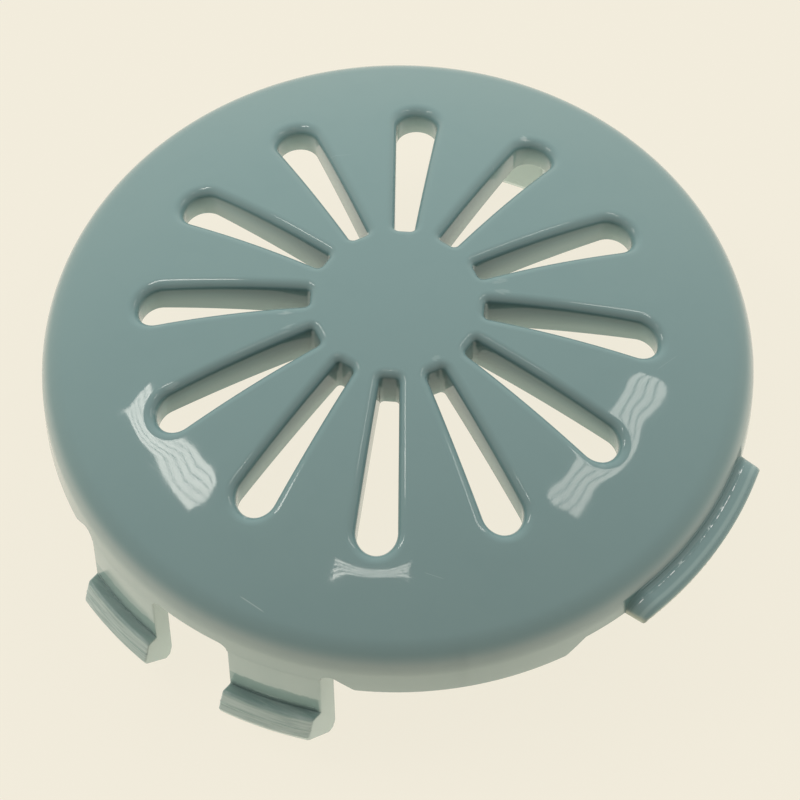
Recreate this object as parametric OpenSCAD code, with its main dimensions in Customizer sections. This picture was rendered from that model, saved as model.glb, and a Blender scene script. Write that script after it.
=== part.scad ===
// Grilled snap-in cap, moulded in one piece: a low domed shell with a short
// skirt, twelve tapered slots with rolled lips and collars below, two pairs of
// snap hooks on opposite sides and one long locating tab between them.
// Frame: z up, z = 0 at the feet of the hooks, axis of the cap on z,
// the tab points to +x and the hook pairs to -y and +y.

/* [Dome] */
// outside diameter at the lower edge of the skirt
cap_d = 90; // [84:1:110]
// radius of the large arc over the top
crown_r = 93; // [85:1:150]
// radius of the shoulder between crown and skirt
shoulder_r = 5.3; // [4.6:0.1:8]
// height of the near-vertical skirt below the shoulder
skirt_h = 3.9; // [3:0.1:7]
// lean of the skirt for draw from the mould, degrees
skirt_draft = 1; // [0.5:0.25:3]
// thickness of the shell, the skirt and the hook legs
wall = 2.8; // [2:0.1:3.4]

/* [Grille] */
// number of slots round the hub
slot_n = 12; // [6:1:12]
// distance from the axis to the inner end of a slot
slot_in = 10.8; // [10.4:0.1:14]
// distance from the axis to the outer end of a slot
slot_out = 32.4; // [28:0.2:34]
// width of the nearly square inner end
slot_w_in = 2.5; // [1.8:0.1:2.8]
// rounding in the corners of the inner end
slot_corner_r = 0.6; // [0.4:0.05:0.8]
// width of the round outer end
slot_w_out = 5.1; // [4:0.1:6]
// radius of the rolled lip round each slot
lip_r = 1.2; // [0.8:0.1:1.5]
// thickness of the collar below each slot
collar_t = 1.6; // [1.2:0.1:2]
// depth of the collars at the axis, from the top of the dome
collar_depth = 6.5; // [5.5:0.1:8]
// radius of the arc that the collar ends lie on
collar_r = 130; // [110:1:160]

/* [Hooks] */
// how far the hooks reach below the skirt
hook_drop = 15; // [12:0.5:20]
// width of one hook
hook_w = 11.7; // [8:0.1:13]
// clear gap between the two hooks of a pair
hook_gap = 11.2; // [8:0.1:14]
// height of the catching ledge above the hook foot
ledge_z = 8; // [6.5:0.1:9.5]
// overhang of the ledge beyond the leg
ledge_w = 1.5; // [1:0.1:2]
// overhang of the barb tip beyond the leg
barb_w = 2.6; // [2.1:0.1:3.2]
// flat land under the foot of a hook
foot_w = 0.8; // [0.5:0.1:1.2]

/* [Tab and relief] */
// width of the long locating tab
tab_w = 26.4; // [18:0.2:30]
// how far the tab stands out of the skirt
tab_out = 2.7; // [1.5:0.1:4]
// thickness of the tab
tab_t = 3.3; // [2.4:0.1:3.8]
// rounding of the upper outer edge of the tab
tab_round = 1.2; // [0.6:0.1:1.6]
// length of raised skirt edge on each side of the tab
tab_gap = 5.5; // [2:0.1:7]
// how far the skirt edge is raised beside the hooks and the tab
relief_h = 2.4; // [1.6:0.1:2.8]
// clear space between a hook and the ramp of the relief
relief_w = 1.4; // [1:0.1:2.4]
// rounding in the corner between hook and skirt
root_r = 1.2; // [0.6:0.1:1.5]

/* [Hidden] */
$fn = 96;
eps = 0.2;
// how far cutting bodies run past what they cut
past = cap_d / 4;
hair = 0.01;
rim_r = cap_d / 2;
skirt_z = hook_drop;

// centre of the shoulder arc and of the crown arc, tangent to each other
sh_x = (rim_r * cos(skirt_draft) - shoulder_r - skirt_h * sin(skirt_draft)) / cos(skirt_draft);
crown_z = skirt_h - sqrt(pow(crown_r - shoulder_r, 2) - pow(sh_x, 2));
top_z = crown_z + crown_r;
// the line from the crown centre through the shoulder centre
split_a = atan2(sh_x, skirt_h - crown_z);
split_x = -crown_z * tan(split_a);

// plan of one slot along +x: a square inner end with small corners, a round
// outer end and sides tangent to both; side_d is a side's distance from the axis
end_o = slot_w_out / 2;
slot_xo = slot_out - end_o;
corner_x = slot_in + slot_corner_r;
corner_y = slot_w_in / 2 - slot_corner_r;
corner_d = norm([slot_xo - corner_x, corner_y]);
side_a = asin((end_o - slot_corner_r) / corner_d) - atan2(corner_y, slot_xo - corner_x);
side_d = slot_corner_r - corner_x * sin(side_a) + corner_y * cos(side_a);

// the lip is rolled by a ball that touches the crown and the slot wall
ball_r = crown_r - lip_r;
ball_poke = 0.05;
// how far the straight runs of the lip go past the corners
run_past = slot_corner_r / 5;

hub_r = slot_in + slot_w_in / 2 + collar_t / 2;
hook_x1 = hook_gap / 2;
hook_x2 = hook_x1 + hook_w;
relief_z = skirt_z + relief_h;

// region below the dome surface, moved inwards by d; its three parts overlap
module dome_region(d, low) {
  in_x = split_x + low * tan(split_a);
  foot_x = rim_r - d / cos(skirt_draft) - low * tan(skirt_draft);
  round_r = shoulder_r - d;
  intersection() {
    translate([0, crown_z]) circle(r = crown_r - d, $fn = 360);
    polygon([
      [0, low],
      [in_x, low],
      [sh_x + 2 * shoulder_r * sin(split_a), skirt_h + 2 * shoulder_r * cos(split_a)],
      [0, top_z + 2 * shoulder_r]
    ]);
  }
  intersection() {
    translate([sh_x, skirt_h]) circle(r = round_r + hair);
    translate([0, low]) square([cap_d, cap_d]);
  }
  polygon([
    [in_x - round_r / 2, low],
    [foot_x, low],
    [sh_x + round_r * cos(skirt_draft), skirt_h + round_r * sin(skirt_draft)],
    [sh_x - round_r / 2, skirt_h + round_r / 8]
  ]);
}

module shell() {
  translate([0, 0, skirt_z])
    difference() {
      rotate_extrude() dome_region(0, 0);
      rotate_extrude() dome_region(wall, -wall / 2);
    }
}

// plan of a slot, grown outwards by e; the edges sit a hair inside the circles
module slot_plan(e) {
  ri = slot_corner_r + e;
  ro = end_o + e;
  for (s = [-1, 1]) translate([corner_x, s * corner_y]) circle(r = ri);
  translate([slot_xo, 0]) circle(r = ro);
  half_i = corner_y + ri * cos(side_a) - hair;
  half_o = ro * cos(side_a) - hair;
  polygon([
    [slot_in - e + hair, corner_y],
    [slot_in - e + hair, -corner_y],
    [corner_x - ri * sin(side_a), -half_i],
    [slot_xo - ro * sin(side_a), -half_o],
    [slot_xo - ro * sin(side_a), half_o],
    [corner_x - ri * sin(side_a), half_i]
  ]);
}

// corner that the rolling ball leaves open, along a straight wall at y = d
module lip_run(d, x1, x2) {
  off = d + lip_r;
  path_r = sqrt(pow(ball_r, 2) - pow(off, 2)) + ball_poke;
  from_a = acos(x1 / path_r);
  to_a = acos(x2 / path_r);
  translate([0, 0, crown_z])
    rotate([-90, 0, 0])
      rotate([0, 0, -from_a])
        rotate_extrude(angle = from_a - to_a)
          difference() {
            translate([path_r - eps, d - lip_r / 3]) square([3 * lip_r, lip_r * 4 / 3]);
            translate([path_r, off - ball_poke]) circle(r = lip_r);
          }
}

// the same corner round an arc of the wall, turned about the dome's normal
module lip_turn(x, y, r) {
  lean = asin(norm([x, y]) / ball_r);
  path_r = (r + lip_r) * (1 + 1 / cos(lean)) / 2;
  translate([x, y, crown_z + ball_r * cos(lean)])
    rotate([0, lean, atan2(y, x)])
      rotate_extrude()
        difference() {
          translate([0, -0.3 * lip_r]) square([path_r, 3 * lip_r]);
          translate([path_r - ball_poke, ball_poke / 2]) circle(r = lip_r);
        }
}

// one slot with the lip round its outer end and along its sides
module slot_body() {
  from_x = corner_x * cos(side_a) + corner_y * sin(side_a) - run_past;
  to_x = slot_xo * cos(side_a) + eps;
  union() {
    linear_extrude(height = top_z + past) slot_plan(0);
    lip_turn(slot_xo, 0, end_o);
    rotate([0, 0, side_a]) lip_run(side_d, from_x, to_x);
    mirror([0, 1, 0]) rotate([0, 0, side_a]) lip_run(side_d, from_x, to_x);
  }
}

// lip round the square inner end of a slot
module inner_lip() {
  union() {
    rotate([0, 0, 90]) lip_run(-slot_in, -corner_y - run_past, corner_y + run_past);
    lip_turn(corner_x, corner_y, slot_corner_r);
    mirror([0, 1, 0]) lip_turn(corner_x, corner_y, slot_corner_r);
  }
}

module slot_cut() {
  translate([0, 0, skirt_z])
    union() {
      slot_body();
      inner_lip();
    }
}

// lens-shaped space that the collars fill, from inside the shell wall down to
// the arc that the collar ends lie on
module collar_space() {
  translate([0, 0, skirt_z])
    rotate_extrude()
      difference() {
        intersection() {
          translate([0, crown_z]) circle(r = crown_r - wall / 2, $fn = 360);
          square([slot_out + 2 * collar_t, top_z]);
        }
        translate([0, top_z - collar_depth - collar_r]) circle(r = collar_r, $fn = 360);
      }
}

// collars that line the slots and a ring that ties their inner ends together
module collars() {
  intersection() {
    collar_space();
    translate([0, 0, skirt_z])
      linear_extrude(height = top_z) {
        difference() {
          circle(r = hub_r);
          circle(r = slot_in - collar_t * 1.6);
        }
        for (i = [0 : slot_n - 1])
          rotate(i * 360 / slot_n) slot_plan(collar_t);
      }
  }
}

// section of a hook: leg, catching ledge, barb and lead-in ramp
module hook_section() {
  leg_i = rim_r - wall;
  polygon([
    [leg_i + 0.6, 0],
    [leg_i + 0.6 + foot_w, 0],
    [rim_r + barb_w - 0.3, ledge_z - 3.5],
    [rim_r + barb_w, ledge_z - 2.7],
    [rim_r + ledge_w, ledge_z + 0.2],
    [rim_r, ledge_z - 0.2],
    [rim_r, skirt_z],
    [rim_r - wall / 3, skirt_z + 0.8],
    [leg_i + wall / 3, skirt_z + 0.8],
    [leg_i, skirt_z],
    [leg_i, 1]
  ]);
}

module hooks() {
  intersection() {
    rotate_extrude() hook_section();
    for (s = [-1, 1])
      translate([s * (hook_x1 + hook_w / 2), 0, skirt_z / 2])
        cube([hook_w, cap_d + past, 2 * skirt_z], center = true);
  }
}

// side view of the raised skirt edge on one side of a hook pair
module relief_side(x1, w) {
  x2 = x1 + w;
  polygon([
    [x1, skirt_z - relief_h],
    [x2 + relief_h, skirt_z - relief_h],
    [x2 + relief_h, skirt_z],
    [x2, relief_z],
    [x1 + root_r, relief_z],
    [x1, relief_z - root_r]
  ]);
  translate([x1 + root_r, relief_z - root_r]) circle(r = root_r);
}

// the skirt edge is raised between the hooks and just outside them
module hook_relief() {
  translate([0, rim_r + past, 0])
    rotate([90, 0, 0])
      linear_extrude(height = cap_d + 2 * past) {
        for (s = [0, 1]) mirror([s, 0]) relief_side(hook_x2, relief_w);
        translate([-hook_x1, skirt_z - relief_h]) square([hook_gap, 2 * relief_h - root_r]);
        translate([-hook_x1 + root_r, skirt_z]) square([hook_gap - 2 * root_r, relief_h]);
        for (s = [-1, 1])
          translate([s * (hook_x1 - root_r), relief_z - root_r]) circle(r = root_r);
      }
}

// the skirt edge is raised under the tab and beside it
module tab_relief() {
  half = tab_w / 2 + tab_gap;
  translate([rim_r - past, 0, 0])
    rotate([90, 0, 90])
      linear_extrude(height = 2 * past)
        polygon([
          [-half - relief_h, skirt_z - relief_h],
          [half + relief_h, skirt_z - relief_h],
          [half + relief_h, skirt_z],
          [half, relief_z],
          [-half, relief_z],
          [-half - relief_h, skirt_z]
        ]);
}

module tab() {
  out_x = rim_r + tab_out;
  intersection() {
    rotate_extrude() {
      translate([rim_r - wall / 2, relief_z]) square([wall / 2 + tab_out - tab_round, tab_t]);
      translate([rim_r - wall / 2, relief_z]) square([wall / 2 + tab_out, tab_t - tab_round]);
      translate([out_x - tab_round, relief_z + tab_t - tab_round]) circle(r = tab_round);
    }
    translate([rim_r, 0, relief_z + tab_t / 2]) cube([past, tab_w, 2 * tab_t], center = true);
  }
}

module pulsator_cap() {
  color([0.52, 0.6, 0.59])
    difference() {
      union() {
        difference() {
          shell();
          hook_relief();
          tab_relief();
        }
        collars();
        hooks();
        tab();
      }
      for (i = [0 : slot_n - 1])
        rotate([0, 0, i * 360 / slot_n]) slot_cut();
    }
}

pulsator_cap();
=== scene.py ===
import math

import bmesh
import bpy
from mathutils import Matrix, Vector, noise


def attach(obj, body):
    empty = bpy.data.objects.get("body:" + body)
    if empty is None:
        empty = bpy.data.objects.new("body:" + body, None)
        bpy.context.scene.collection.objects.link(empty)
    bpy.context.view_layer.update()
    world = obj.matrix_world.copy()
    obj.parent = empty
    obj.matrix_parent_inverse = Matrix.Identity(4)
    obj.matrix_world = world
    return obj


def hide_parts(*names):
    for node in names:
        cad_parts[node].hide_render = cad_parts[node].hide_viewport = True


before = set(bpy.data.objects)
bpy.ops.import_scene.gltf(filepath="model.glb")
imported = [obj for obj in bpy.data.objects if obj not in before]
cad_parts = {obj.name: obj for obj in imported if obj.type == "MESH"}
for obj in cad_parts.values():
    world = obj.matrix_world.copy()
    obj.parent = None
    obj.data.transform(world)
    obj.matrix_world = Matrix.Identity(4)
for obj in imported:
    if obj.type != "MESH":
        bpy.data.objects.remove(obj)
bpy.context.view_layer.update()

MM = 0.001
rad = math.radians


def srgb(r, g, b):
    """A colour written in 0-255 screen values, as the linear values that Blender works in."""
    out = []
    for v in (r, g, b):
        c = v / 255
        out.append(c / 12.92 if c <= 0.04045 else ((c + 0.055) / 1.055) ** 2.4)
    return (*out, 1.0)


# Sizes, in mm
CAP_R = 45.0
CROWN_R = 93.0
SHOULDER_R = 5.3
SKIRT_H = 3.9
DRAFT = rad(1)
WALL = 2.8
SKIRT_Z = 15.0
RELIEF_Z = 17.4
SHOULDER_X = (CAP_R * math.cos(DRAFT) - SHOULDER_R - SKIRT_H * math.sin(DRAFT)) / math.cos(DRAFT)
CROWN_Z = SKIRT_Z + SKIRT_H - math.sqrt((CROWN_R - SHOULDER_R) ** 2 - SHOULDER_X**2)
SPLIT = math.atan2(SHOULDER_X, SKIRT_Z + SKIRT_H - CROWN_Z)
TOP_Z = CROWN_Z + CROWN_R

HUB_R = 8.5
BAND_R = 35.5
SLOTS = 12
HALF = 180 / SLOTS
SLOT_IN = 10.83
SLOT_HALF_IN = 1.23
CORNER_R = 0.6
OUT_R = 2.56
OUT_X = 32.4 - OUT_R
LIP_R = 1.2
SWELL, SWELL_AT, SWELL_W = 0.022, 2.9, 1.4
COLLAR_T = 1.6
COLLAR_R = 130.0
COLLAR_TOP = TOP_Z - 6.5 - COLLAR_R
EDGE = 0.25

HOOK_X1, HOOK_X2 = 5.6, 17.3
ROOT_R = 1.2
HOOK_TOP = RELIEF_Z - ROOT_R
TAB_HALF = 13.2
TAB_OUT = 47.7
TAB_TOP = 20.7
RIDGE_R = 45.78


def sphere_z(x, y, inset=0.0):
    """Height of the crown above a plan point, or of a surface that lies inset below it."""
    return CROWN_Z + math.sqrt((CROWN_R - inset) ** 2 - x * x - y * y)


def collar_z(x, y):
    return COLLAR_TOP + math.sqrt(COLLAR_R**2 - x * x - y * y)


def lerp(a, b, t):
    return a + (b - a) * t


def smooth(t):
    t = min(max(t, 0.0), 1.0)
    return t * t * (3 - 2 * t)


class Mesh:
    """Collects points and faces; points that fall together are welded at the end."""

    def __init__(self):
        self.points = []
        self.faces = []

    def row(self, points):
        start = len(self.points)
        self.points += [tuple(p) for p in points]
        return list(range(start, len(self.points)))

    def strip(self, a, b, closed=False):
        n = len(a)
        for i in range(n if closed else n - 1):
            j = (i + 1) % n
            self.faces.append((a[i], a[j], b[j], b[i]))

    def fan(self, ring, centre):
        for i in range(len(ring)):
            self.faces.append((ring[i], ring[(i + 1) % len(ring)], centre))

    def build(self, name, weld=0.002):
        mesh = bpy.data.meshes.new(name)
        mesh.from_pydata([(x * MM, y * MM, z * MM) for x, y, z in self.points], [], self.faces)
        bm = bmesh.new()
        bm.from_mesh(mesh)
        bmesh.ops.remove_doubles(bm, verts=bm.verts, dist=weld * MM)
        bmesh.ops.dissolve_degenerate(bm, edges=bm.edges, dist=weld * MM * 0.5)
        bmesh.ops.recalc_face_normals(bm, faces=bm.faces)
        for f in bm.faces:
            f.smooth = True
        bm.to_mesh(mesh)
        bm.free()
        mesh.set_sharp_from_angle(angle=rad(40))
        obj = bpy.data.objects.new(name, mesh)
        bpy.context.collection.objects.link(obj)
        return obj


# Slot outline
def slot_half():
    """Half of a slot's outline from the middle of its inner end, over +y, to the
    middle of its outer end: points, outward normals, and how each one is tied to
    the edge of its 30 degree sector."""
    c1 = Vector((SLOT_IN + CORNER_R, SLOT_HALF_IN - CORNER_R))
    c2 = Vector((OUT_X, 0))
    gap = c2 - c1
    side = math.atan2(gap.y, gap.x) + math.asin((OUT_R - CORNER_R) / gap.length) + math.pi / 2
    out = []
    for i in range(2):
        out.append((Vector((SLOT_IN, c1.y * i / 2)), Vector((-1, 0)), ("hub", i / 5)))
    for i in range(7):
        a = lerp(math.pi, side, i / 6)
        m = Vector((math.cos(a), math.sin(a)))
        tie = ("hub", (2 + i) / 5) if i <= 3 else ("inner", (i - 3) / 3)
        out.append((c1 + CORNER_R * m, m, tie))
    m = Vector((math.cos(side), math.sin(side)))
    start, end = c1 + CORNER_R * m, c2 + OUT_R * m
    for i in range(1, 27):
        out.append((start.lerp(end, i / 26), m, ("side", i / 26)))
    turn = rad(50)
    for i in range(1, 7):
        a = lerp(side, turn, i / 6)
        m = Vector((math.cos(a), math.sin(a)))
        out.append((c2 + OUT_R * m, m, ("outer", i / 6)))
    return out, start, end, Vector((math.cos(side), math.sin(side))), c2, turn


HALF_OUTLINE, SIDE_START, SIDE_END, SIDE_N, ARC_C, ARC_TURN = slot_half()
RAY = Vector((math.cos(rad(HALF)), math.sin(rad(HALF))))


def foot_on_ray(q):
    """Distance along the sector's edge at which the side's normal from q meets it."""
    # q + t * SIDE_N = r * RAY
    det = SIDE_N.x * -RAY.y + RAY.x * SIDE_N.y
    t = (-q.x * -RAY.y + q.y * -RAY.x) / det
    return (q + t * SIDE_N).length


RAY_1, RAY_2 = foot_on_ray(SIDE_START), foot_on_ray(SIDE_END)


def edge_point(tie):
    kind, t = tie
    if kind == "hub":
        a = rad(HALF) * t
        return Vector((HUB_R * math.cos(a), HUB_R * math.sin(a)))
    if kind == "inner":
        return RAY * lerp(HUB_R, RAY_1, t)
    if kind == "side":
        return RAY * lerp(RAY_1, RAY_2, t)
    return RAY * lerp(RAY_2, BAND_R, t)


def slot_distance(x, y):
    """Plan distance from a point of the dome to the wall of the nearest slot."""
    a = math.atan2(y, x)
    a -= round(a / rad(2 * HALF)) * rad(2 * HALF)
    r = math.hypot(x, y)
    q = Vector((r * math.cos(a), abs(r * math.sin(a))))
    along = SIDE_END - SIDE_START
    t = (q - SIDE_START).dot(along) / along.length_squared
    if t < 0:
        return (q - SIDE_START + CORNER_R * SIDE_N).length - CORNER_R
    if t > 1:
        return (q - ARC_C).length - OUT_R
    return (q - SIDE_START).dot(SIDE_N)


def crown(x, y, inset=0.0):
    """A point of the crown, with the faint swell that the moulding has round the
    slots' outer ends; inset moves it below the surface."""
    d = max(slot_distance(x, y), LIP_R)
    swell = SWELL * math.exp(-(((d - SWELL_AT) / SWELL_W) ** 2)) * smooth((math.hypot(x, y) - 22) / 6)
    z = sphere_z(x, y, inset)
    lift = swell / (CROWN_R - inset)
    return (x * (1 + lift), y * (1 + lift), z + (z - CROWN_Z) * lift)


def sector_loop(angles):
    """The whole outline of a slot and the sector's edge, point by point; angles are
    the band's columns in this sector, counted from its middle."""
    up = [(q, m, edge_point(t)) for q, m, t in HALF_OUTLINE]
    down = [(Vector((q.x, -q.y)), Vector((m.x, -m.y)), Vector((b.x, -b.y))) for q, m, b in up]
    arc = []
    for a in sorted((a for a in angles if abs(a) < HALF - 1e-6), reverse=True):
        n = ARC_TURN * a / HALF
        m = Vector((math.cos(n), math.sin(n)))
        b = Vector((math.cos(rad(a)), math.sin(rad(a)))) * BAND_R
        arc.append((ARC_C + OUT_R * m, m, b))
    return up + arc + list(reversed(down[1:]))


def slot_rings(loop):
    """Rings of points from the sector's edge over the lip, down the wall, round the
    collar and back to the sector's edge below the shell."""
    rings = [[] for _ in range(34)]
    for q, m, b in loop:
        c = q + LIP_R * m
        ball = Vector((c.x, c.y, sphere_z(c.x, c.y, LIP_R)))
        up = (ball - Vector((0, 0, CROWN_Z))).normalized()
        in_m = Vector((-m.x, -m.y, 0))
        t1 = ball + LIP_R * up
        column = []
        for f in (0, 0.15, 0.3, 0.42, 0.54, 0.64, 0.73, 0.81, 0.88, 0.94):
            x, y = lerp(b.x, t1.x, f), lerp(b.y, t1.y, f)
            column.append(crown(x, y))
        lift = Vector(crown(t1.x, t1.y)) - Vector((t1.x, t1.y, sphere_z(t1.x, t1.y)))
        for i in range(9):
            n = up.slerp(in_m, i / 8)
            column.append(tuple(ball + LIP_R * n + lift * (1 - i / 8)))
        low = collar_z(q.x, q.y)
        top = ball.z
        column.append((q.x, q.y, lerp(top, low + EDGE, 0.5)))
        for i in range(4):
            a = rad(30 * i)
            p = q + EDGE * (1 - math.cos(a)) * m
            column.append((p.x, p.y, low + EDGE * (1 - math.sin(a))))
        o = q + COLLAR_T * m
        low = collar_z(o.x, o.y)
        for i in range(4):
            a = rad(30 * i)
            p = q + (COLLAR_T - EDGE * (1 - math.sin(a))) * m
            column.append((p.x, p.y, low + EDGE * (1 - math.cos(a))))
        roof = sphere_z(o.x, o.y, WALL)
        column.append((o.x, o.y, roof - 0.3))
        for f in (0.02, 0.25, 0.6, 1.0):
            x, y = lerp(o.x, b.x, f), lerp(o.y, b.y, f)
            column.append((x, y, sphere_z(x, y, WALL)))
        if len(column) > len(rings):
            raise ValueError(len(column))
        for ring, p in zip(rings, column):
            ring.append(p)
    return [r for r in rings if r]


# Skirt columns
def edge_height(angle):
    """Height of the skirt's lower edge at an azimuth in degrees."""
    near = min((0, 90, -90), key=lambda a: abs((angle - a + 180) % 360 - 180))
    u = CAP_R * math.sin(rad(abs((angle - near + 180) % 360 - 180)))
    if abs((angle - near + 180) % 360 - 180) > 40:
        return SKIRT_Z
    z = RELIEF_Z if u <= 18.7 else max(SKIRT_Z, RELIEF_Z - (u - 18.7))
    if near != 0:
        for edge, sign in ((HOOK_X1, -1), (HOOK_X2, 1)):
            d = (u - edge) * sign
            if 0 <= d < ROOT_R:
                z = min(z, RELIEF_Z - ROOT_R + math.sqrt(ROOT_R**2 - (ROOT_R - d) ** 2))
        if HOOK_X1 < u < HOOK_X2:
            z = HOOK_TOP
    return z


def column_list():
    """Every column of the band: azimuth, and what hangs below: edge or hook with the
    inset of the hook's section, which rounds the hook's long edges."""
    special = []
    fillet = [ROOT_R * (1 - math.cos(rad(22.5 * i))) for i in range(5)]
    rounding = ((0.0, EDGE), (0.08, 0.09), (EDGE, 0.0))
    for s in (-1, 1):
        for axis in (90, -90):
            def at(u, kind="edge", inset=0.0, axis=axis, s=s):
                special.append((axis + s * math.degrees(math.asin(u / CAP_R)), kind, inset))
            for v in (1.1, 2.2, 3.3):
                at(v)
            for v in fillet:
                at(HOOK_X1 - v)
                at(HOOK_X2 + v)
            for v in (18.9, 19.9, 20.9, 21.2):
                at(v)
            for d, inset in rounding:
                at(HOOK_X1 + d, "hook", inset)
                at(HOOK_X2 - d, "hook", inset)
            for i in range(1, 11):
                u = lerp(HOOK_X1 + EDGE, HOOK_X2 - EDGE, i / 11)
                if abs(math.degrees(math.asin(u / CAP_R)) - HALF) > 0.5:
                    at(u, "hook")
            special.append((axis + s * HALF, "hook", 0.0))
        for u in (18.7, 18.9, 19.9, 20.9, 21.2):
            special.append((s * math.degrees(math.asin(u / CAP_R)), "edge", 0.0))
    for axis in (90, -90):
        special.append((axis, "edge", 0.0))
    special = sorted(set((round((a + 180) % 360 - 180, 6), k, i) for a, k, i in special))
    taken = [a for a, _, _ in special]
    plain = []
    for i in range(288):
        a = -180 + 1.25 * i
        is_edge = abs((a - HALF) / (2 * HALF) - round((a - HALF) / (2 * HALF))) < 1e-6
        near = min(abs((a - t + 180) % 360 - 180) for t in taken)
        inside = any(6.5 < abs((a - x + 180) % 360 - 180) < 23 for x in (90, -90))
        if near > 0.55 and not inside or (is_edge and near > 1e-6):
            plain.append((round(a, 6), "edge", 0.0))
    out = sorted(special + plain, key=lambda c: c[0])
    # at a hook's side plane the edge column comes first on the side away from the hook
    ordered = []
    i = 0
    while i < len(out):
        same = [c for c in out[i:i + 3] if abs(c[0] - out[i][0]) < 1e-5]
        if len(same) == 2:
            nearest = min((90, -90), key=lambda x: abs(same[0][0] - x))
            d = same[0][0] - nearest
            hook_after = (d > 0) == (abs(d) < 12)
            first = "edge" if hook_after else "hook"
            same.sort(key=lambda c: c[1] != first)
        ordered += same
        i += len(same)
    return ordered


COLUMNS = column_list()


def rounded(points, radii, steps=4):
    """An open line of points with its corners rounded: points and outward normals,
    with the material on the left-hand side."""
    out = []

    def normal(a, b):
        d = (b - a).normalized()
        return Vector((-d.y, d.x))

    n = len(points)
    out.append((points[0], normal(points[0], points[1])))
    for i in range(1, n - 1):
        a, p, b = points[i - 1], points[i], points[i + 1]
        n1, n2 = normal(a, p), normal(p, b)
        turn = n1.angle_signed(n2)
        r = radii[i]
        reach = r * abs(math.tan(turn / 2))
        p1, p2 = p + (a - p).normalized() * reach, p + (b - p).normalized() * reach
        side = 1 if turn > 0 else -1
        c = p1 - n1 * r * side
        for k in range(steps + 1):
            t = k / steps
            m = n1.slerp(n2, t)
            out.append((c + m * r * side, m))
    out.append((points[-1], normal(points[-2], points[-1])))
    return out


def hook_line():
    """A hook's section from its outer face, round barb and foot, to its inner face."""
    r, leg = CAP_R, CAP_R - WALL
    points = [
        Vector(p)
        for p in (
            (r, HOOK_TOP), (r, 7.85), (r + 1.5, 8.25), (r + 2.15, 6.55), (r + 2.22, 6.45),
            (r + 2.18, 6.32), (r + 2.6, 5.2), (r + 2.35, 4.3), (leg + 1.5, 0.0),
            (leg + 0.5, 0.0), (leg, 1.3), (leg, HOOK_TOP),
        )
    ]
    radii = [0, 0.06, 0.45, 0.05, 0.02, 0.05, 0.4, 0.4, 0.3, 0.3, 0.8, 0]
    return rounded(points, radii)


HOOK_LINE = hook_line()


def column_azimuth(angle, r):
    """Azimuth of a column at radius r: near the hooks and the tab the columns stand
    in parallel planes, elsewhere they stand in planes through the axis."""
    near = min((0, 90, -90), key=lambda a: abs((angle - a + 180) % 360 - 180))
    d = (angle - near + 180) % 360 - 180
    u = CAP_R * math.sin(rad(d)) if abs(d) < 60 else 0
    keep = 1 - smooth((abs(d) - 28) / 12)
    if keep <= 0:
        return rad(angle)
    return rad(near + lerp(d, math.degrees(math.asin(u / r)), keep))


def polar(a, r, z):
    return (r * math.cos(a), r * math.sin(a), z)


def column_points(angle, kind, inset):
    """Points of one column: the outside down to the edge, what hangs below it, and
    the inside up again."""
    a = rad(angle)
    z = edge_height(angle) if kind == "edge" else HOOK_TOP
    outside = []
    for i in range(13):
        r = lerp(BAND_R, CROWN_R * math.sin(SPLIT), i / 12)
        outside.append(crown(r * math.cos(a), r * math.sin(a)))
    for i in range(1, 17):
        n = lerp(math.pi / 2 - SPLIT, DRAFT, i / 16)
        outside.append(polar(a, SHOULDER_X + SHOULDER_R * math.cos(n), SKIRT_Z + SKIRT_H + SHOULDER_R * math.sin(n)))
    top = SKIRT_Z + SKIRT_H + SHOULDER_R * math.sin(DRAFT)
    for i in range(1, 4):
        zz = lerp(top, z + EDGE, i / 3)
        outside.append(polar(a, CAP_R - (zz - SKIRT_Z) * math.tan(DRAFT), zz))
    leg = CAP_R - WALL
    below = []
    corner = [(math.cos(rad(30 * i)), math.sin(rad(30 * i))) for i in range(1, 4)]
    share = 1.0 if kind == "edge" else inset / EDGE
    for c, s in corner:
        r = lerp(CAP_R, CAP_R - EDGE * (1 - c), share)
        below.append((r, z + EDGE * (1 - s)))
    if kind == "hook":
        for p, n in HOOK_LINE[1:-1]:
            q = p - n * inset
            below.append((q.x, q.y))
    for c, s in reversed(corner):
        r = lerp(leg, leg + EDGE * (1 - c), share)
        below.append((r, z + EDGE * (1 - s)))
    below = [polar(column_azimuth(angle, r), r, zz) for r, zz in below]
    inside = []
    shoulder_in = SHOULDER_R - WALL
    foot = z + EDGE
    for i in range(3):
        zz = lerp(foot, SKIRT_Z + SKIRT_H, i / 3)
        inside.append((leg - (zz - SKIRT_Z) * math.tan(DRAFT), zz))
    for i in range(9):
        n = lerp(DRAFT, math.pi / 2 - SPLIT, i / 8)
        inside.append((SHOULDER_X + shoulder_in * math.cos(n), SKIRT_Z + SKIRT_H + shoulder_in * math.sin(n)))
    for i in range(1, 5):
        r = lerp((CROWN_R - WALL) * math.sin(SPLIT), BAND_R, i / 4)
        inside.append((r, sphere_z(r, 0, WALL)))
    points = []
    for i, (r, zz) in enumerate(inside):
        fade = smooth(1 - i / (len(inside) - 1))
        points.append(polar(lerp(a, column_azimuth(angle, r), fade), r, zz))
    return outside, below, points


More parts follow.
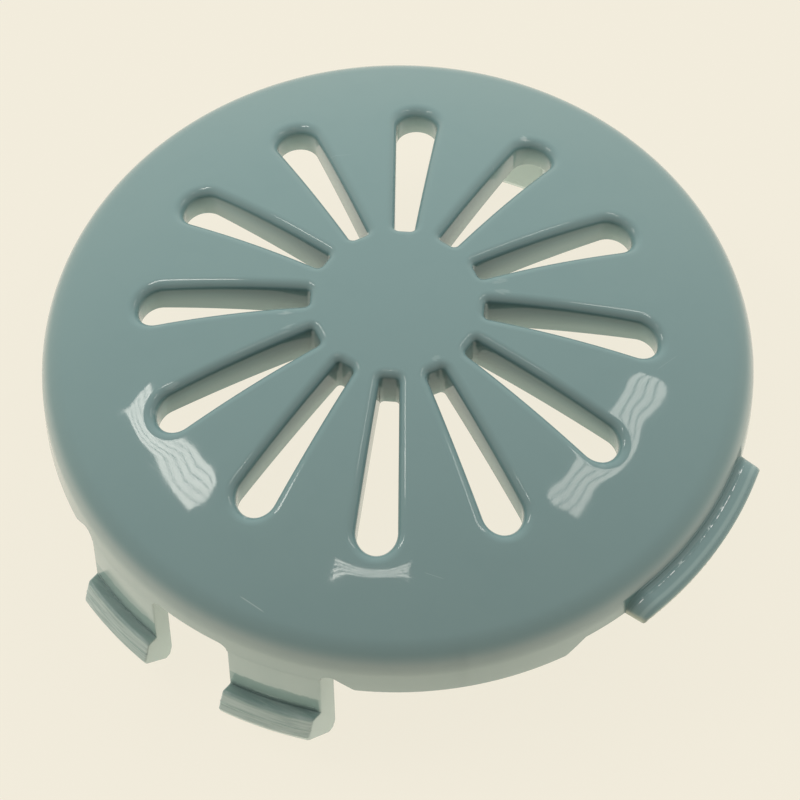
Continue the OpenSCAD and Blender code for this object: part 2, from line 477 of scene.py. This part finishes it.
# The cap
def build_cap():
    m = Mesh()
    # band, skirt and hooks
    rows = []
    for c in COLUMNS:
        outside, below, inside = column_points(*c)
        rows.append((c, m.row(outside), m.row(below), m.row(inside)))
    for i, (c, out_a, low_a, in_a) in enumerate(rows):
        d, out_b, low_b, in_b = rows[(i + 1) % len(rows)]
        m.strip(out_a, out_b)
        m.strip(in_a, in_b)
        if c[1] == d[1]:
            m.strip([out_a[-1], *low_a, in_a[0]], [out_b[-1], *low_b, in_b[0]])
        else:
            # the flat side of a hook; the columns stand in one plane
            hook = low_a if c[1] == "hook" else low_b
            m.faces.append(tuple(hook[2:-2]))
    # sectors with a slot each
    distinct = sorted({c[0] for c in COLUMNS})
    for k in range(SLOTS):
        middle = k * 2 * HALF
        local = [(a - middle + 180) % 360 - 180 for a in distinct]
        loop = sector_loop([a for a in local if abs(a) <= HALF])
        rings = slot_rings(loop)
        c, s = math.cos(rad(middle)), math.sin(rad(middle))
        rows = [m.row([(x * c - y * s, x * s + y * c, z) for x, y, z in ring]) for ring in rings]
        for a, b in zip(rows, rows[1:]):
            m.strip(a, b, closed=True)
    # hub
    for inset in (0, WALL):
        last = None
        for r in (HUB_R, 7.2, 5.6, 3.8, 2.0):
            ring = m.row([(r * math.cos(rad(3 * i)), r * math.sin(rad(3 * i)), sphere_z(r, 0, inset)) for i in range(120)])
            if last:
                m.strip(last, ring, closed=True)
            last = ring
        m.fan(last, m.row([(0, 0, sphere_z(0, 0, inset))])[0])
    return m.build("cap_shell")


def build_hub_ring():
    """The ring below the hub that ties the collars' inner ends together."""
    m = Mesh()
    section = []
    r1, r2, e = 8.2, 10.4, 0.25
    for r, side in ((r1, -1), (r2, 1)):
        steps = [rad(30 * i) for i in range(4)]
        bend = [(r - side * e * (1 - math.cos(t)), -e * math.sin(t)) for t in steps]
        section.append([(x, collar_z(r, 0) + e + z) for x, z in bend])
    line = [(r1, sphere_z(r1, 0, WALL / 2))] + section[0] + list(reversed(section[1]))
    line += [(r2, sphere_z(r2, 0, WALL / 2))]
    rows = []
    for i in range(120):
        a = rad(3 * i)
        rows.append(m.row([polar(a, r, z) for r, z in line]))
    for i in range(120):
        a, b = rows[i], rows[(i + 1) % 120]
        m.strip(a + [a[0]], b + [b[0]])
    return m.build("hub_ring")


def build_tab():
    """Locating tab: a thick lip on the skirt. Its top falls away from a crease at the
    skirt over a fine broken ridge to a round outer edge; moulding flash stands along
    its lower edge."""
    m = Mesh()
    low, top = RELIEF_Z, TAB_TOP
    round_r, ends = 1.1, ((0.22, 0.0), (0.07, 0.07), (0.0, 0.22))
    END_RUN, END_H = 3.0, 0.16
    places = [(TAB_HALF - a, inset) for a, inset in ends]
    inner = [(TAB_HALF - 0.25) * math.sin(rad(lerp(-87, 87, i / 180))) for i in range(181)]
    columns = [(-v, inset) for v, inset in reversed(places)] + [(v, 0.0) for v in inner] + places
    rows = []
    for v, inset in columns:
        def ragged(scale, seed):
            return noise.noise(Vector((v * scale, seed, 0.0)))

        calm = smooth((TAB_HALF - abs(v)) / 1.5)
        flash = calm * (0.10 * ragged(1.9, 3.1) + 0.07 * ragged(5.3, 9.7))
        flash_2 = calm * (0.08 * ragged(2.3, 5.1) + 0.05 * ragged(6.1, 1.7))
        ridge = calm * 0.05 * min(max(0.75 + 1.6 * ragged(0.9, 0.3), 0.0), 1.0)
        out = TAB_OUT - inset
        line = [(CAP_R - 1.0, low + inset), (out - 0.55, low + inset)]
        line += [(out - 0.22 + flash * 0.5, low + inset + 0.02), (out - 0.20 + flash, low + 0.2 + inset)]
        line += [(out - 0.16 + flash_2, low + 0.62), (out - 0.26 + 0.4 * flash_2, low + 0.95)]
        line += [(out - 0.04, low + 1.2)]
        rim = top - inset - 1.2
        for i in range(11):
            t = rad(lerp(0, 66, i / 10))
            line.append((out - round_r + round_r * math.cos(t), rim - round_r + round_r * math.sin(t)))
        rise = [(RIDGE_R + 0.30, 0.20), (RIDGE_R + 0.10, 0.29), (RIDGE_R, 0.33 + ridge)]
        rise += [(RIDGE_R - 0.09, 0.36), (45.35, 0.50), (45.12, 0.56), (44.98, 0.62), (44.9, 0.8)]
        line += [(r, rim + dz) for r, dz in rise]
        line.append((CAP_R - 1.0, rim + 0.85))
        # towards its ends the top falls in a quarter of an ellipse
        past = max(abs(v) - (TAB_HALF - END_RUN), 0.0) / END_RUN
        height = lerp(END_H, 1.0, math.sqrt(max(1 - past * past, 0.0)))
        line = [(r, low + (z - low) * height) for r, z in line]
        row = []
        for r, z in line:
            a = math.asin(v / r)
            row.append(polar(a, min(r, TAB_OUT), z))
        rows.append(m.row(row))
    for a, b in zip(rows, rows[1:]):
        m.strip(a + [a[0]], b + [b[0]])
    m.faces.append(tuple(rows[0]))
    m.faces.append(tuple(rows[-1]))
    return m.build("tab", weld=0.001)


# Materials
def node(tree, kind, **values):
    """A new node; values set its sockets by name, or its properties in lower case."""
    n = tree.nodes.new(kind)
    for key, value in values.items():
        if key in n.inputs:
            n.inputs[key].default_value = value
        else:
            setattr(n, key, value)
    return n


def maths(tree, operation, a, b=None, c=None, clamp=False):
    """A Math node; a, b and c are sockets or numbers. Returns its output."""
    n = tree.nodes.new("ShaderNodeMath")
    n.operation = operation
    n.use_clamp = clamp
    for i, v in enumerate((a, b, c)):
        if v is None:
            continue
        if isinstance(v, (int, float)):
            n.inputs[i].default_value = v
        else:
            tree.links.new(v, n.inputs[i])
    return n.outputs[0]


def ramp(tree, value, low, high, to_low=0.0, to_high=1.0, smooth_step=True):
    """A Map Range node that turns low..high into to_low..to_high. Returns its output."""
    n = tree.nodes.new("ShaderNodeMapRange")
    n.interpolation_type = "SMOOTHSTEP" if smooth_step else "LINEAR"
    tree.links.new(value, n.inputs["Value"])
    for name, v in (("From Min", low), ("From Max", high), ("To Min", to_low), ("To Max", to_high)):
        n.inputs[name].default_value = v
    return n.outputs[0]


def grain(tree, place, stretch, detail=2.0):
    """Noise over the cap; stretch is how fast it varies along x, y and z, per metre."""
    scale = node(tree, "ShaderNodeVectorMath", operation="MULTIPLY")
    tree.links.new(place, scale.inputs[0])
    scale.inputs[1].default_value = stretch
    n = node(tree, "ShaderNodeTexNoise", Scale=1.0, Detail=detail, Roughness=0.55)
    tree.links.new(scale.outputs[0], n.inputs["Vector"])
    return n.outputs["Fac"]


def tint(tree, factor, a, b):
    """A colour between a and b, each a socket or a colour. Returns its output."""
    n = tree.nodes.new("ShaderNodeMix")
    n.data_type = "RGBA"
    tree.links.new(factor, n.inputs["Factor"])
    for name, v in (("A", a), ("B", b)):
        if isinstance(v, tuple):
            n.inputs[name].default_value = v
        else:
            tree.links.new(v, n.inputs[name])
    return n.outputs["Result"]


def scratch(tree, x, y, ends, width):
    """A mask of one scratch between two plan points of the dome, in mm."""
    (x1, y1), (x2, y2) = ends
    length = math.hypot(x2 - x1, y2 - y1)
    ux, uy = (x2 - x1) / length, (y2 - y1) / length

    def along(ax, ay):
        part = maths(tree, "MULTIPLY", maths(tree, "SUBTRACT", x, x1 * MM), ax)
        return maths(tree, "MULTIPLY_ADD", maths(tree, "SUBTRACT", y, y1 * MM), ay, part)

    side = maths(tree, "ABSOLUTE", along(-uy, ux))
    run = maths(tree, "ABSOLUTE", maths(tree, "SUBTRACT", along(ux, uy), length / 2 * MM))
    thin = ramp(tree, side, width * MM, 0.0)
    ends_soft = ramp(tree, run, length / 2 * MM, length * 0.3 * MM)
    return maths(tree, "MULTIPLY", thin, ends_soft)


BODY = srgb(118, 145, 143)
# painted light: the plastic's colour lightened for the floor's light and reflection on the skirt, hooks and lower
# slot walls
BODY_PAINTED_FLOOR_LIGHT = srgb(154, 168, 163)
WORN = srgb(205, 214, 208)
SCRATCHES = (
    (((5.0, -40.8), (9.0, -40.8)), 0.10, 0.34),
    (((22.4, -26.8), (25.0, -25.9)), 0.05, 0.22),
    (((-21.5, 14.0), (-18.2, 16.4)), 0.05, 0.15),
    (((30.2, 12.5), (31.0, 16.6)), 0.05, 0.12),
    (((-3.0, 25.5), (-1.2, 23.8)), 0.04, 0.14),
)


def plastic():
    """Glossy grey-green moulded plastic. The dome is smooth with a faint waviness; the
    skirt and hooks are more satin and painted paler for the floor's light and reflection,
    with drag marks along the hooks; edges are rubbed pale, and a painted glint runs along
    the ridge on the tab. Painted shade and highlights lie on the hooks, in the slots and on the tab."""
    mat = bpy.data.materials.new("cap_plastic")
    mat.use_nodes = True
    nt = mat.node_tree
    bsdf = nt.nodes["Principled BSDF"]
    bsdf.inputs["IOR"].default_value = 1.5
    bsdf.inputs["Sheen Weight"].default_value = 0.15
    bsdf.inputs["Sheen Roughness"].default_value = 0.25
    bsdf.inputs["Sheen Tint"].default_value = srgb(250, 244, 228)
    place = nt.nodes.new("ShaderNodeTexCoord").outputs["Object"]
    split = nt.nodes.new("ShaderNodeSeparateXYZ")
    nt.links.new(place, split.inputs[0])
    x, y, z = split.outputs
    radius = nt.nodes.new("ShaderNodeVectorMath")
    radius.operation = "LENGTH"
    flat = nt.nodes.new("ShaderNodeCombineXYZ")
    nt.links.new(x, flat.inputs[0])
    nt.links.new(y, flat.inputs[1])
    nt.links.new(flat.outputs[0], radius.inputs[0])
    radius = radius.outputs["Value"]
    on_tab = maths(nt, "MULTIPLY", ramp(nt, x, 41 * MM, 42 * MM), ramp(nt, radius, 44.95 * MM, 45.1 * MM))
    by_tab = maths(nt, "MULTIPLY", ramp(nt, x, 41 * MM, 42 * MM), ramp(nt, z, 20.5 * MM, 20.2 * MM))
    off_tab = maths(nt, "ABSOLUTE", y)
    by_tab = maths(nt, "MULTIPLY", by_tab, ramp(nt, off_tab, 13.5 * MM, 13.1 * MM))
    low = maths(nt, "MULTIPLY", ramp(nt, z, 22.5 * MM, 20.7 * MM), maths(nt, "SUBTRACT", 1.0, by_tab))

    geometry = nt.nodes.new("ShaderNodeNewGeometry")
    face = nt.nodes.new("ShaderNodeSeparateXYZ")
    nt.links.new(geometry.outputs["True Normal"], face.inputs[0])

    turned = ramp(nt, maths(nt, "ABSOLUTE", face.outputs["X"]), 0.80, 0.60)
    hook = maths(nt, "MULTIPLY", ramp(nt, z, 10 * MM, 8.2 * MM), turned)
    hook = maths(nt, "MULTIPLY", hook, ramp(nt, radius, 44.90 * MM, 45.05 * MM))

    # colour: slight clouding, pale drag marks on the hooks, rubbed edges, scratches, and painted light and shade on
    # the skirt, hooks, slots and tab
    cloud = grain(nt, place, (45, 45, 45), 3.0)
    flow = grain(nt, place, (260, 260, 90), 2.0)
    drag = grain(nt, place, (60, 700, 2300), 3.0)
    # painted light: below the shoulder the plastic is painted pale for the floor's light and its reflection at
    # grazing angles
    colour = tint(nt, low, BODY, BODY_PAINTED_FLOOR_LIGHT)
    colour = tint(nt, ramp(nt, cloud, 0.35, 0.7, 0, 0.10), colour, srgb(128, 152, 146))
    colour = tint(nt, ramp(nt, flow, 0.45, 0.75, 0, 0.07), colour, srgb(104, 134, 134))
    # painted shade: the hooks' upward ledge faces are darker teal
    ledge_shade = maths(nt, "MULTIPLY", hook, ramp(nt, face.outputs["Z"], 0.25, 0.55, 0, 0.30))
    colour = tint(nt, ledge_shade, colour, srgb(100, 144, 134))
    # painted reflection: a darker band on the hooks' legs above the barb, where the glossy leg mirrors the barb's
    # ledge; its upper edge is ragged
    leg_reflection = maths(nt, "MULTIPLY", turned, ramp(nt, radius, 44.85 * MM, 44.95 * MM))
    leg_reflection = maths(nt, "MULTIPLY", leg_reflection, ramp(nt, radius, 45.12 * MM, 45.04 * MM))
    leg_reflection = maths(nt, "MULTIPLY", leg_reflection, ramp(nt, z, 7.70 * MM, 7.85 * MM))
    reflection_top_z = maths(nt, "MULTIPLY_ADD", grain(nt, place, (520, 520, 520), 3.0), -1.6 * MM, z)
    leg_reflection = maths(nt, "MULTIPLY", leg_reflection, ramp(nt, reflection_top_z, 10.8 * MM, 10.4 * MM, 0, 0.55))
    colour = tint(nt, leg_reflection, colour, srgb(98, 130, 126))
    drag_pale = maths(nt, "MULTIPLY", hook, ramp(nt, drag, 0.50, 0.70, 0, 0.26))
    drag_dark = maths(nt, "MULTIPLY", hook, ramp(nt, drag, 0.47, 0.30, 0, 0.22))
    colour = tint(nt, drag_pale, colour, WORN)
    colour = tint(nt, drag_dark, colour, srgb(78, 108, 104))
    upright = ramp(nt, maths(nt, "ABSOLUTE", face.outputs["Z"]), 0.45, 0.25)
    in_slot = maths(nt, "MULTIPLY", upright, ramp(nt, radius, 38 * MM, 37 * MM))
    square = maths(nt, "MULTIPLY", radius, radius)
    crown_z = maths(nt, "SQRT", maths(nt, "SUBTRACT", (CROWN_R * MM) ** 2, square))
    below = maths(nt, "SUBTRACT", maths(nt, "ADD", crown_z, CROWN_Z * MM), z)
    shade = maths(nt, "MULTIPLY", in_slot, ramp(nt, below, 2.6 * MM, 0.9 * MM, 0, 0.30))
    colour = tint(nt, shade, colour, srgb(60, 92, 86))
    # painted light from the floor below: the slot walls grow paler towards their lower edges
    light_low = maths(nt, "MULTIPLY", in_slot, ramp(nt, below, 1.6 * MM, 4.2 * MM, 0, 0.55))
    colour = tint(nt, light_low, colour, BODY_PAINTED_FLOOR_LIGHT)
    edge = geometry.outputs["Pointiness"]
    rub = maths(nt, "MULTIPLY", ramp(nt, edge, 0.53, 0.66, 0, 0.30), ramp(nt, cloud, 0.3, 0.6))
    colour = tint(nt, rub, colour, WORN)
    # painted shade: darker teal in the crease where the tab's top meets the skirt
    crease = maths(nt, "MULTIPLY", by_tab, ramp(nt, radius, 46.0 * MM, 45.2 * MM))
    colour = tint(nt, maths(nt, "MULTIPLY", crease, 0.65), colour, srgb(66, 98, 96))
    off = maths(nt, "ABSOLUTE", maths(nt, "SUBTRACT", radius, RIDGE_R * MM))
    # painted glint: a broken pale line along the ridge on the tab's top
    ridge_glint = maths(nt, "MULTIPLY", on_tab, ramp(nt, off, 0.08 * MM, 0.02 * MM))
    ridge_glint = maths(nt, "MULTIPLY", ridge_glint, ramp(nt, z, 19.2 * MM, 19.4 * MM))
    broken = ramp(nt, grain(nt, place, (400, 700, 400), 4.0), 0.50, 0.58)
    ridge_glint = maths(nt, "MULTIPLY", ridge_glint, broken)
    colour = tint(nt, ridge_glint, colour, srgb(235, 240, 236))
    # painted highlight: a pale band along the tab's rounded outer edge
    outer = maths(nt, "ABSOLUTE", maths(nt, "SUBTRACT", radius, 46.95 * MM))
    outer = maths(nt, "MULTIPLY", on_tab, ramp(nt, outer, 0.40 * MM, 0.10 * MM, 0, 0.35))
    colour = tint(nt, outer, colour, srgb(166, 184, 176))
    foot = maths(nt, "MULTIPLY", on_tab, ramp(nt, z, 18.6 * MM, 17.9 * MM, 0, 0.55))
    colour = tint(nt, foot, colour, srgb(188, 186, 166))
    dome = ramp(nt, z, 22 * MM, 24 * MM)
    marks = 0.0
    for ends, width, strength in SCRATCHES:
        mark = scratch(nt, x, y, ends, width)
        marks = maths(nt, "MULTIPLY_ADD", mark, strength, marks)
    marks = maths(nt, "MULTIPLY", marks, dome)
    colour = tint(nt, marks, colour, WORN)
    nt.links.new(colour, bsdf.inputs["Base Color"])

    # gloss
    gloss = ramp(nt, low, 0, 1, 0.044, 0.13)
    gloss = maths(nt, "ADD", gloss, ramp(nt, flow, 0.4, 0.8, 0, 0.02))
    gloss = maths(nt, "ADD", gloss, maths(nt, "MULTIPLY", hook, ramp(nt, drag, 0.3, 0.7, 0.05, 0.30)))
    gloss = maths(nt, "MULTIPLY_ADD", marks, 0.5, gloss)
    matt = maths(nt, "MULTIPLY", crease, ramp(nt, radius, 45.70 * MM, 45.45 * MM))
    gloss = maths(nt, "MULTIPLY_ADD", matt, 0.35, gloss)
    nt.links.new(gloss, bsdf.inputs["Roughness"])

    # relief: waviness of the mould on the dome, drag marks on the hooks
    wave = grain(nt, place, (420, 420, 420), 1.0)
    height = maths(nt, "MULTIPLY", wave, 0.0016 * MM)
    fine = grain(nt, place, (2600, 2600, 2600), 2.0)
    height = maths(nt, "MULTIPLY_ADD", fine, 0.00006 * MM, height)
    rough_part = maths(nt, "MULTIPLY", hook, 0.022 * MM)
    height = maths(nt, "MULTIPLY_ADD", drag, rough_part, height)
    height = maths(nt, "MULTIPLY_ADD", marks, -0.01 * MM, height)
    bump = node(nt, "ShaderNodeBump", Strength=1.0, Distance=1.0)
    nt.links.new(height, bump.inputs["Height"])
    nt.links.new(bump.outputs[0], bsdf.inputs["Normal"])
    return mat


def dress():
    mat = plastic()
    pieces = [build_cap(), build_hub_ring(), build_tab()]
    for piece in pieces:
        piece.data.materials.append(mat)
        weighted = piece.modifiers.new("weighted", "WEIGHTED_NORMAL")
        weighted.keep_sharp = True
        weighted.weight = 50
        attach(piece, "root")
    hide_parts("pulsator_cap")


dress()

# Stage
PALE = srgb(242, 236, 220)
FLOOR_EVEN = 0.94
FLOOR_GLOW = 2.2
FLOOR_GLOW_FAR = 0.15


def seen_rays(tree, share):
    """A factor that is share on camera, glossy and transmission rays, else 0."""
    path = tree.nodes.new("ShaderNodeLightPath")
    seen = maths(tree, "ADD", path.outputs["Is Camera Ray"], path.outputs["Is Glossy Ray"])
    seen = maths(tree, "ADD", seen, path.outputs["Is Transmission Ray"], clamp=True)
    return maths(tree, "MULTIPLY", seen, share)


def add_floor():
    mesh = bpy.data.meshes.new("floor")
    s = 3.0
    mesh.from_pydata([(-s, -s, 0), (s, -s, 0), (s, s, 0), (-s, s, 0)], [], [(0, 1, 2, 3)])
    floor = bpy.data.objects.new("floor", mesh)
    bpy.context.collection.objects.link(floor)
    mat = bpy.data.materials.new("floor")
    mat.use_nodes = True
    nt = mat.node_tree
    bsdf = nt.nodes["Principled BSDF"]
    bsdf.inputs["Base Color"].default_value = PALE
    bsdf.inputs["Roughness"].default_value = 0.9
    bsdf.inputs["Specular IOR Level"].default_value = 0.0
    # what the camera and reflections see is even and pale, with a faint shadow; what
    # lights the cap from below is the floor as in a light tent
    path = nt.nodes.new("ShaderNodeLightPath")
    diffuse = path.outputs["Is Diffuse Ray"]
    seen = seen_rays(nt, FLOOR_EVEN)
    glow = node(nt, "ShaderNodeEmission", Color=PALE)
    away = node(nt, "ShaderNodeVectorMath", operation="LENGTH")
    nt.links.new(nt.nodes.new("ShaderNodeTexCoord").outputs["Object"], away.inputs[0])
    glow_here = ramp(nt, away.outputs["Value"], 0.070, 0.130, FLOOR_GLOW * 2 - 1, FLOOR_GLOW_FAR * 2 - 1)
    level = maths(nt, "MULTIPLY_ADD", diffuse, glow_here, 1.0)
    nt.links.new(level, glow.inputs["Strength"])
    mix = nt.nodes.new("ShaderNodeMixShader")
    nt.links.new(maths(nt, "ADD", seen, maths(nt, "MULTIPLY", diffuse, 0.5)), mix.inputs[0])
    nt.links.new(bsdf.outputs[0], mix.inputs[1])
    nt.links.new(glow.outputs[0], mix.inputs[2])
    nt.links.new(mix.outputs[0], nt.nodes["Material Output"].inputs["Surface"])
    mesh.materials.append(mat)


def add_world():
    """A pale studio, brighter overhead and behind the cap; what is seen of it, directly
    or in a reflection, is plain and pale."""
    world = bpy.data.worlds.new("studio")
    bpy.context.scene.world = world
    world.use_nodes = True
    nt = world.node_tree
    back = nt.nodes["Background"]
    direction = nt.nodes.new("ShaderNodeTexCoord").outputs["Generated"]
    dot = node(nt, "ShaderNodeVectorMath", operation="DOT_PRODUCT")
    nt.links.new(direction, dot.inputs[0])
    az, el = rad(127.1), rad(-25.6)
    dot.inputs[1].default_value = (math.cos(az) * math.cos(el), math.sin(az) * math.cos(el), math.sin(el))
    high = node(nt, "ShaderNodeVectorMath", operation="DOT_PRODUCT")
    nt.links.new(direction, high.inputs[0])
    el = rad(52.9)
    high.inputs[1].default_value = (math.cos(az) * math.cos(el), math.sin(az) * math.cos(el), math.sin(el))

    behind = ramp(nt, dot.outputs["Value"], -0.60, -0.20, 0, 1.337)
    above = ramp(nt, high.outputs["Value"], -0.097, 0.202, 0, 0.372)
    light = maths(nt, "ADD", maths(nt, "ADD", behind, above), 0.01)
    nt.links.new(maths(nt, "MULTIPLY", light, WORLD_LEVEL), back.inputs["Strength"])
    back.inputs["Color"].default_value = (0.995, 1.0, 1.02, 1)
    plain = node(nt, "ShaderNodeBackground", Color=PALE, Strength=1.0)
    mix = nt.nodes.new("ShaderNodeMixShader")
    nt.links.new(seen_rays(nt, 1.0), mix.inputs[0])
    nt.links.new(back.outputs[0], mix.inputs[1])
    nt.links.new(plain.outputs[0], mix.inputs[2])
    nt.links.new(mix.outputs[0], nt.nodes["World Output"].inputs["Surface"])


WORLD_LEVEL = 0.795
add_floor()
add_world()

# Camera
# pinhole camera fitted to the photo: distances in cap radii, angles in radians
TURN = rad(35.27)
ELEVATION = 1.0237
ROLL = -0.0105
SHIFT_X, SHIFT_Y, DISTANCE = -0.0061, 0.0631, 11.4043
FOCAL = 5.0427


def add_camera():
    fwd = Vector((0, math.cos(ELEVATION), -math.sin(ELEVATION)))
    up = Vector((0, math.sin(ELEVATION), math.cos(ELEVATION)))
    right = Vector((1, 0, 0))
    cam_x = math.cos(ROLL) * right + math.sin(ROLL) * up
    cam_y = -math.sin(ROLL) * right + math.cos(ROLL) * up
    place = (-SHIFT_X * cam_x - SHIFT_Y * cam_y - DISTANCE * fwd) * CAP_R * MM
    turn = Matrix.Rotation(TURN, 3, "Z")
    axes = Matrix((turn @ cam_x, turn @ cam_y, turn @ -fwd)).transposed()
    data = bpy.data.cameras.new("camera")
    data.sensor_width = 36
    data.lens = FOCAL * data.sensor_width
    data.clip_start = 0.01
    camera = bpy.data.objects.new("camera", data)
    bpy.context.collection.objects.link(camera)
    lift = Vector((0, 0, SKIRT_Z * MM))
    camera.matrix_world = Matrix.Translation(turn @ place + lift) @ axes.to_4x4()
    bpy.context.scene.camera = camera


add_camera()


# Lights
CAMERA_AZIMUTH = -54.7


def add_lamp(name, azimuth, elevation, across, up, length, height, roll, strips, share, radiance):
    """A softbox of parallel strips, one metre away. azimuth is counted from the camera's
    own; across and up move it in its own plane, in metres; roll turns it there."""
    az, el = rad(CAMERA_AZIMUTH + azimuth), rad(elevation)
    towards = Vector((math.cos(az) * math.cos(el), math.sin(az) * math.cos(el), math.sin(el)))
    ex = Vector((0, 0, 1)).cross(towards).normalized()
    ey = towards.cross(ex)
    middle = Vector((0, 0, 0.025)) + towards + across * ex + up * ey
    c, s = math.cos(rad(roll)), math.sin(rad(roll))
    ex, ey = c * ex + s * ey, c * ey - s * ex
    pitch = height / strips
    for i in range(strips):
        data = bpy.data.lights.new(f"{name}_{i + 1}", "AREA")
        data.shape = "RECTANGLE"
        data.size = length
        data.size_y = pitch * share
        data.color = (1.0, 0.955, 0.88)
        data.energy = math.pi * data.size * data.size_y * radiance
        lamp = bpy.data.objects.new(data.name, data)
        bpy.context.collection.objects.link(lamp)
        place = Matrix((ex, ey, towards)).transposed().to_4x4()
        place.translation = middle + ey * pitch * (i - (strips - 1) / 2)
        lamp.matrix_world = place


add_lamp("lamp_left", -101.2, 55.1, -0.044, -0.078, 0.41, 0.118, 40, 5, 0.85, 9.8)
add_lamp("lamp_front", -17.7, 74.8, 0.008, -0.042, 0.25, 0.062, 14, 4, 0.42, 12.0)
add_lamp("lamp_right", 104, 55, 0.012, -0.020, 0.52, 0.100, -44, 4, 0.80, 5.6)

bpy.context.scene.view_settings.view_transform = "Standard"
